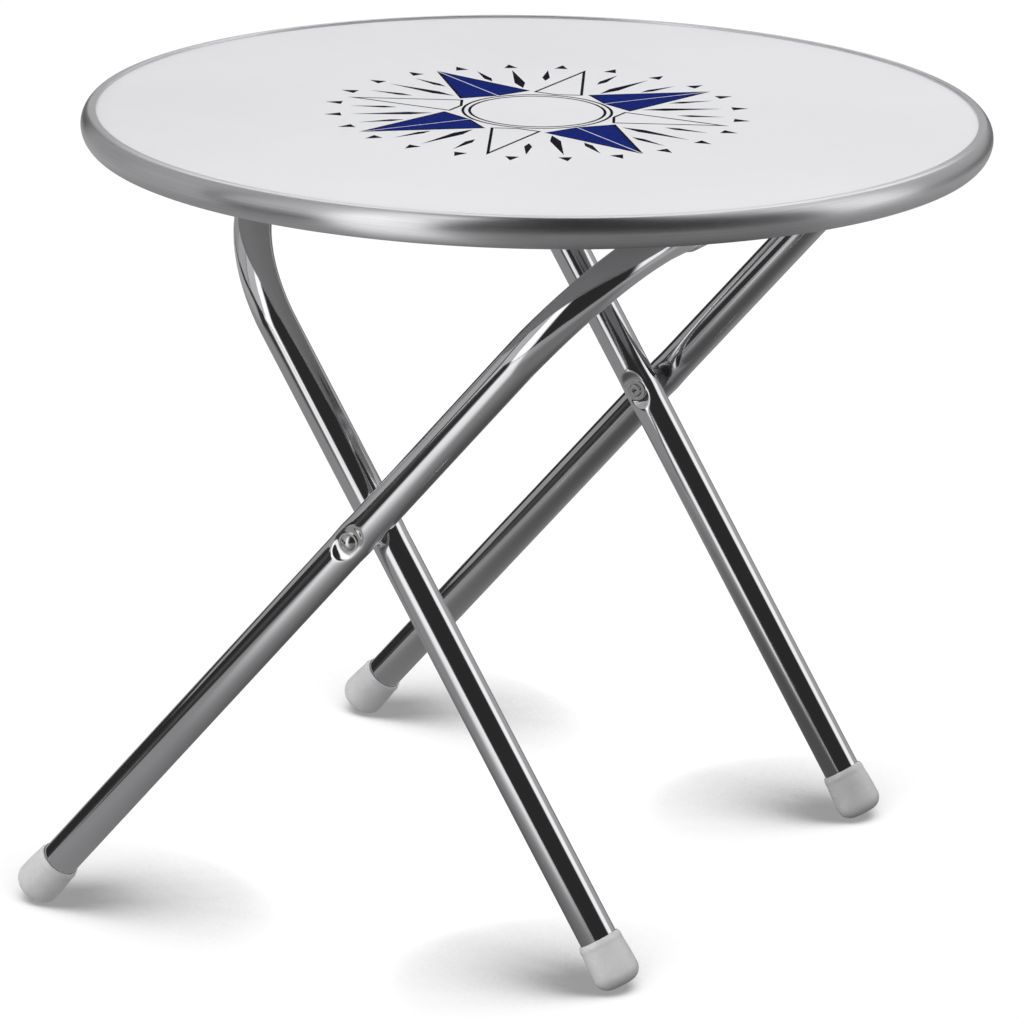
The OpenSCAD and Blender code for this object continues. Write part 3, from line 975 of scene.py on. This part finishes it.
@dataclass
class FootCap:
    """Moulded cap that is pushed over the end of a leg."""

    radius: float = 15.5 * MM
    mouth: float = 14.0 * MM
    bore: float = 12.55 * MM
    length: float = 33.5 * MM
    rounding: float = 9.0 * MM
    floor: float = 6.0 * MM
    recess: float = 0.8 * MM
    recess_radius: float = 4.0 * MM
    belly: float = 0.35 * MM
    bead: float = 0.45 * MM
    bead_height: float = 30.4 * MM
    bead_half: float = 1.5 * MM
    lip: float = 0.7 * MM
    round_steps: int = 12
    side_steps: int = 24
    lip_steps: int = 6
    sides: int = 96

    @property
    def first_height(self) -> float:
        """Height of the middle of the recess under the cap."""
        return self.recess

    def profile(self) -> list[tuple[float, float]]:
        """Outline from the middle of the bottom round the mouth to the floor inside."""
        points = [
            (self.recess_radius * 0.9, self.recess),
            (self.recess_radius, self.recess * 0.5),
            (self.recess_radius + self.recess / 2, 0.0),
        ]
        flat = self.radius - self.rounding
        for i in range(self.round_steps + 1):
            turn = math.pi / 2 * i / self.round_steps
            points.append(
                (flat + self.rounding * math.sin(turn), self.rounding * (1 - math.cos(turn)))
            )
        top = self.length - self.lip
        for i in range(1, self.side_steps + 1):
            share = i / self.side_steps
            height = self.rounding + (top - self.rounding) * share
            radius = self.radius + (self.mouth - self.radius) * share
            radius += self.belly * math.sin(math.pi * share)
            away = (height - self.bead_height) / self.bead_half
            radius += self.bead * math.exp(-away * away)
            points.append((radius, height))
        edge = points[-1][0]
        for i in range(1, self.lip_steps + 1):
            turn = math.pi * i / self.lip_steps
            half = (edge - self.bore) / 2
            points.append((edge - half + half * math.cos(turn), top + self.lip * math.sin(turn)))
        points.append((self.bore, self.floor))
        return points


@dataclass
class RivetSet(SubAssembly):
    """Rivets with their washers and spacers."""

    edge: float = 0.25 * MM

    def build(self) -> list[bpy.types.Object]:
        """Dresses the nodes of both pivots."""
        made = []
        for side in ("near", "far"):
            steel = self.dress_nodes(
                Slot.RIVET, f"pivot_rivet_{side}", f"head_washer_{side}", f"tail_washer_{side}"
            )
            spacer = self.dress_nodes(Slot.NYLON, f"pivot_spacer_{side}")
            for piece in steel + spacer:
                soften(piece, self.edge)
            made += steel + spacer
        return made


# Studio

CAMERA_TURN = 0.46208
RIGHT = Vector((math.cos(CAMERA_TURN), math.sin(CAMERA_TURN), 0.0))
BACK = Vector((-math.sin(CAMERA_TURN), math.cos(CAMERA_TURN), 0.0))


@dataclass(frozen=True)
class Camera:
    """Camera of the photograph, found from the table's own edges in it."""

    place: tuple[float, float, float] = (1.8255, -3.6857, 1.4716)
    tilt: float = 0.28486
    roll: float = 0.01841
    focal: float = 6405.0
    image: float = 1024.0
    centre: tuple[float, float] = (516.66, 483.27)
    sensor: float = 36.0

    def build(self) -> bpy.types.Object:
        """Makes the camera and gives it to the scene."""
        data = bpy.data.cameras.new("camera")
        data.sensor_width = self.sensor
        data.lens = self.focal / self.image * self.sensor
        data.shift_x = (self.image / 2 - self.centre[0]) / self.image
        data.shift_y = (self.centre[1] - self.image / 2) / self.image
        data.clip_start, data.clip_end = 0.1, 100.0
        ahead = BACK * math.cos(self.tilt) - Vector((0.0, 0.0, math.sin(self.tilt)))
        up = RIGHT.cross(ahead)
        right = math.cos(self.roll) * RIGHT + math.sin(self.roll) * up
        above = math.cos(self.roll) * up - math.sin(self.roll) * RIGHT
        camera = bpy.data.objects.new("camera", data)
        camera.matrix_world = Matrix.LocRotScale(
            Vector(self.place), Matrix((right, above, -ahead)).transposed(), None
        )
        bpy.context.scene.collection.objects.link(camera)
        bpy.context.scene.camera = camera
        return camera


def bearing_vector(bearing: float, elevation: float) -> Vector:
    """Direction from its bearing, from -Y towards +X, and its elevation, both in degrees."""
    turn, rise = math.radians(bearing), math.radians(elevation)
    flat = math.cos(rise)
    return Vector((flat * math.sin(turn), -flat * math.cos(turn), math.sin(rise)))


def band(bearing: Signal, middle: Number, half_width: Number, soft: Number) -> Signal:
    """Share of a soft sector of bearings, all in degrees.

    Args:
        bearing: The bearing to judge.
        middle: Bearing of the middle of the sector.
        half_width: Half width of the sector, to the middle of its soft edge.
        soft: Width of the soft edge.

    Returns:
        1 in the sector and 0 outside it.
    """
    away = (bearing - middle).wrapped(-180, 180).size()
    return away.between(half_width - soft / 2, half_width + soft / 2, 1.0, 0.0)


@dataclass(frozen=True)
class Panel:
    """Bright panel of the surroundings, seen from the table. All its angles are in degrees."""

    bearing: float
    half_width: float
    low: float
    high: float
    radiance: float
    soft: float = 5.0

    def paint(self, bearing: Signal, elevation: Signal) -> Signal:
        """Light that comes from the panel in every direction.

        Args:
            bearing: Bearing of the direction.
            elevation: Its elevation.

        Returns:
            The panel's radiance there.
        """
        half = self.soft / 2
        across = band(bearing, self.bearing, self.half_width, self.soft)
        above = elevation.between(self.low - half, self.low + half)
        below = elevation.between(self.high - half, self.high + half, 1.0, 0.0)
        return across * above * below * self.radiance


@dataclass(frozen=True)
class SoftSun:
    """Wide soft light from one direction."""

    name: str
    bearing: float
    elevation: float
    spread: float
    strength: float

    def build(self) -> None:
        """Makes the light, which no glossy surface mirrors."""
        data = bpy.data.lights.new(self.name, "SUN")
        data.angle = math.radians(self.spread)
        data.energy = self.strength * math.pi
        light = bpy.data.objects.new(self.name, data)
        source = bearing_vector(self.bearing, self.elevation)
        light.rotation_euler = (-source).to_track_quat("-Z", "Y").to_euler()
        light.visible_glossy = False
        bpy.context.scene.collection.objects.link(light)


def stage_sheet(
    name: str, points: Sequence[tuple[float, float, float]], faces: Sequence[tuple[int, ...]]
) -> bpy.types.Object:
    """A stage piece.

    Args:
        name: Its name.
        points: Its points.
        faces: Its faces, by the numbers of the points.

    Returns:
        The piece.
    """
    mesh = bpy.data.meshes.new(name)
    mesh.from_pydata(points, [], faces)
    made = bpy.data.objects.new(name, mesh)
    bpy.context.scene.collection.objects.link(made)
    return made


def show_to(piece: bpy.types.Object, camera: bool) -> None:
    """Shows a stage piece only to the camera, or only to reflections and bounced light."""
    piece.visible_camera = camera
    piece.visible_glossy = piece.visible_diffuse = not camera
    piece.visible_transmission = piece.visible_volume_scatter = piece.visible_shadow = False


def glow(piece: bpy.types.Object, paint: Callable[[Graph], Any]) -> None:
    """Gives a stage piece a glowing upper side and leaves its lower side clear.

    Args:
        piece: The stage piece.
        paint: Function of a graph that gives the brightness.
    """
    made = bpy.data.materials.new(piece.name)
    made.use_nodes = True
    graph = Graph(made.node_tree)
    sockets = {
        "Base Color": (0.0, 0.0, 0.0),
        "Specular IOR Level": 0.0,
        "Emission Color": paint(graph),
        "Emission Strength": 1.0,
    }
    bright = graph.signal("ShaderNodeBsdfPrincipled", None, sockets)
    clear = graph.signal("ShaderNodeBsdfTransparent", None, None)
    below = graph.signal("ShaderNodeNewGeometry", None, None, "Backfacing")
    shown = graph.node("ShaderNodeMixShader", None, {0: below, 1: bright, 2: clear})
    out = graph.node("ShaderNodeOutputMaterial")
    graph.tree.links.new(shown.outputs[0], out.inputs[0])
    piece.data.materials.append(made)


@dataclass(frozen=True)
class Card:
    """Upright curved card of light that stands on one side of the table, seen only in reflections.

    The bearing and the half width are in degrees.
    """

    name: str
    bearing: float
    half_width: float
    distance: float
    low: float
    high: float
    radiance: float
    steps: int = 12

    def build(self) -> None:
        """Makes the card, with its bright side towards the table."""
        points, faces = [], []
        for i in range(self.steps + 1):
            turn = self.bearing + self.half_width * (2 * i / self.steps - 1)
            foot = bearing_vector(turn, 0.0) * self.distance
            points += [(foot.x, foot.y, self.low), (foot.x, foot.y, self.high)]
        for i in range(self.steps):
            faces.append((2 * i, 2 * i + 1, 2 * i + 3, 2 * i + 2))
        card = stage_sheet(self.name, points, faces)
        glow(card, lambda graph: (self.radiance, self.radiance, self.radiance))
        show_to(card, camera=False)


@dataclass
class Studio:
    """Floor, surroundings and lights, none of which is part of the table."""

    dark: float = 0.028
    reach: float = 20.0
    seam: float = -0.04
    top_height: float = 2.6
    top_size: float = 4.5
    top_radiance: float = 0.55
    panels: tuple[Panel, ...] = (
        Panel(119, 15, -4, 75, 1.1, 12),
        Panel(158, 24, 0, 75, 0.38, 10),
        Panel(-156, 22, 2, 26, 0.4, 10),
        Panel(-156, 26, 26, 58, 1.5, 10),
        Panel(-14, 14, -4, 84, 1.3, 8),
        Panel(-56, 9, -6, 7, 0.04, 8),
    )
    cards: tuple[Card, ...] = (
        Card("card_left", -98, 17, 1.5, 0.34, 4.5, 0.33),
        Card("card_between", -63, 14, 0.9, 0.43, 4.5, 0.42),
        Card("card_front_left", -36, 14, 1.5, 0.46, 4.5, 0.55),
    )
    fills: tuple[SoftSun, ...] = (
        SoftSun("fill_front_left", -40, 22, 90, 0.5),
        SoftSun("fill_right", 70, 15, 90, 0.12),
        SoftSun("fill_back_right", 150, 20, 90, 0.1),
        SoftSun("fill_back_left", -130, 20, 90, 0.15),
    )
    # Even glow of the seen floor, and the shadow painted into it beside the feet
    floor_level: float = 1.03
    painted_shadow_level: float = 0.32
    painted_shadow_share: float = 0.22
    painted_shadow_reach: float = 0.125
    painted_shadow_elevation: float = 30.0
    painted_shadow_bearings: tuple[float, float] = (-20.0, 72.0)

    def build(self) -> None:
        """Sets up the whole studio."""
        bpy.context.scene.view_settings.view_transform = "Standard"
        self.surroundings()
        self.seen_floor("floor_left", -self.reach, self.seam, self.painted_shadow_bearings[0])
        self.seen_floor("floor_right", self.seam, self.reach, self.painted_shadow_bearings[1])
        self.top_light()
        for fill in self.fills:
            fill.build()
        for card in self.cards:
            card.build()
        self.white_dome()
        self.reflected_floor()

    def surroundings(self) -> None:
        """Dark room with soft panels, which the bright parts mirror."""
        world = bpy.data.worlds.new("studio")
        bpy.context.scene.world = world
        world.use_nodes = True
        graph = Graph(world.node_tree)
        x, y, z = graph.axes(graph.signal("ShaderNodeTexCoord", None, None, "Generated"))
        degree = 180 / math.pi
        bearing = x.angle_to(0.0 - y) * degree
        elevation = z.arc() * degree
        light = self.dark + self.panels[0].paint(bearing, elevation)
        for panel in self.panels[1:]:
            light = light + panel.paint(bearing, elevation)
        room = graph.node("ShaderNodeBackground", None, {"Color": light})
        out = graph.node("ShaderNodeOutputWorld")
        graph.tree.links.new(room.outputs[0], out.inputs[0])

    def top_light(self) -> None:
        """Large soft box over the table, which no glossy surface mirrors."""
        data = bpy.data.lights.new("top_box", "AREA")
        data.shape = "SQUARE"
        data.size = self.top_size
        data.energy = self.top_radiance * math.pi * self.top_size * self.top_size
        light = bpy.data.objects.new("top_box", data)
        light.location = (0.0, 0.0, self.top_height)
        light.visible_camera = light.visible_glossy = False
        bpy.context.scene.collection.objects.link(light)

    def seen_floor(self, name: str, low: float, high: float, bearing: float) -> None:
        """One half of the pale floor that the camera sees, a glowing sheet with a soft shadow painted beside
        the feet.

        Args:
            name: Name of the half.
            low: Its lower limit along X.
            high: Its upper limit along X.
            bearing: Bearing towards which the occlusion test that paints its shadow leans.
        """
        r = self.reach
        floor = stage_sheet(name, [(low, -r, 0), (high, -r, 0), (high, r, 0), (low, r, 0)], [(0, 1, 2, 3)])

        def paint(graph: Graph) -> Signal:
            """Brightness of the floor, with a shadow painted in where a leg or foot is close by."""
            # Painted shadow: the glow is dimmed where legs and feet block an occlusion test that leans
            # towards the bearing, not shaded by a lamp
            source = graph.vector(*bearing_vector(bearing, self.painted_shadow_elevation))
            sockets = {"Distance": self.painted_shadow_reach, "Normal": source}
            free = graph.signal("ShaderNodeAmbientOcclusion", {"samples": 14}, sockets, "AO")
            return free.between(1.0 - self.painted_shadow_share, 0.985, self.painted_shadow_level, self.floor_level)

        glow(floor, paint)
        show_to(floor, camera=True)

    def white_dome(self) -> None:
        """White surroundings that only the camera sees."""
        rings, sides = 16, 32
        points, faces = [], []
        for i in range(rings + 1):
            tilt = math.pi * i / rings
            for j in range(sides):
                turn = 2 * math.pi * j / sides
                flat = self.reach * math.sin(tilt)
                points.append((flat * math.cos(turn), flat * math.sin(turn), self.reach * math.cos(tilt)))
        for i in range(rings):
            for j in range(sides):
                k = (j + 1) % sides
                corners = (i * sides + j, i * sides + k, (i + 1) * sides + k, (i + 1) * sides + j)
                faces.append(corners)
        dome = stage_sheet("backdrop", points, faces)
        glow(dome, lambda graph: (1.05, 1.05, 1.05))
        show_to(dome, camera=True)

    def reflected_floor(self) -> None:
        """Glowing sheet that stands in for the lit floor as the chrome and the underside see it: the table's
        shadow painted dim under the top, a painted pool of light in front.
        """
        corners = [(-3.5, -4.5, -0.001), (3.5, -4.5, -0.001), (3.5, 3.0, -0.001), (-3.5, 3.0, -0.001)]
        floor = stage_sheet("floor_glow", corners, [(0, 1, 2, 3)])

        def paint(graph: Graph) -> Signal:
            """Painted light of the floor by its bearing and distance from the table, with the table's shadow
            painted in.
            """
            x, y, _ = graph.axes(graph.place())
            dx, dy = x - 0.1, y - 0.05
            away = (dx * dx + dy * dy).root()
            bearing = dx.angle_to(0.0 - dy) * (180 / math.pi)
            # Painted shadow of the table, deepest to the front right and lifting with distance, a painted
            # pool of light in front, and a dark patch painted at the front left beyond a metre
            shade = 1.0 - 0.5 * band(bearing, 55, 45, 30)
            near = 0.2 * away.between(0.08, 0.55) * shade
            painted_light_pool = 0.66 * band(bearing, -12, 12, 12) * away.between(0.35, 1.0)
            far = 0.14 * away.between(0.9, 1.8)
            lit = 0.09 + near + painted_light_pool + far
            return lit * (1.0 - 0.92 * band(bearing, -39, 14, 8) * away.between(1.0, 1.6))

        glow(floor, paint)
        show_to(floor, camera=False)


def main() -> None:
    """Builds the table's looks and the studio."""
    logging.basicConfig(level=logging.INFO, format="%(name)s: %(message)s")
    Camera().build()
    parts = (
        TableTop(),
        UnderFittings(),
        LegFrame("outer", 1, press_out=3.0 * MM, press_in=1.5 * MM),
        LegFrame("inner", -1, press_out=1.5 * MM, press_in=3.0 * MM),
        RivetSet(),
    )
    for part in parts:
        for piece in part.build():
            LOG.info("%s: %s", type(part).__name__, piece.name)
    Studio().build()


if __name__ == "__main__":
    main()
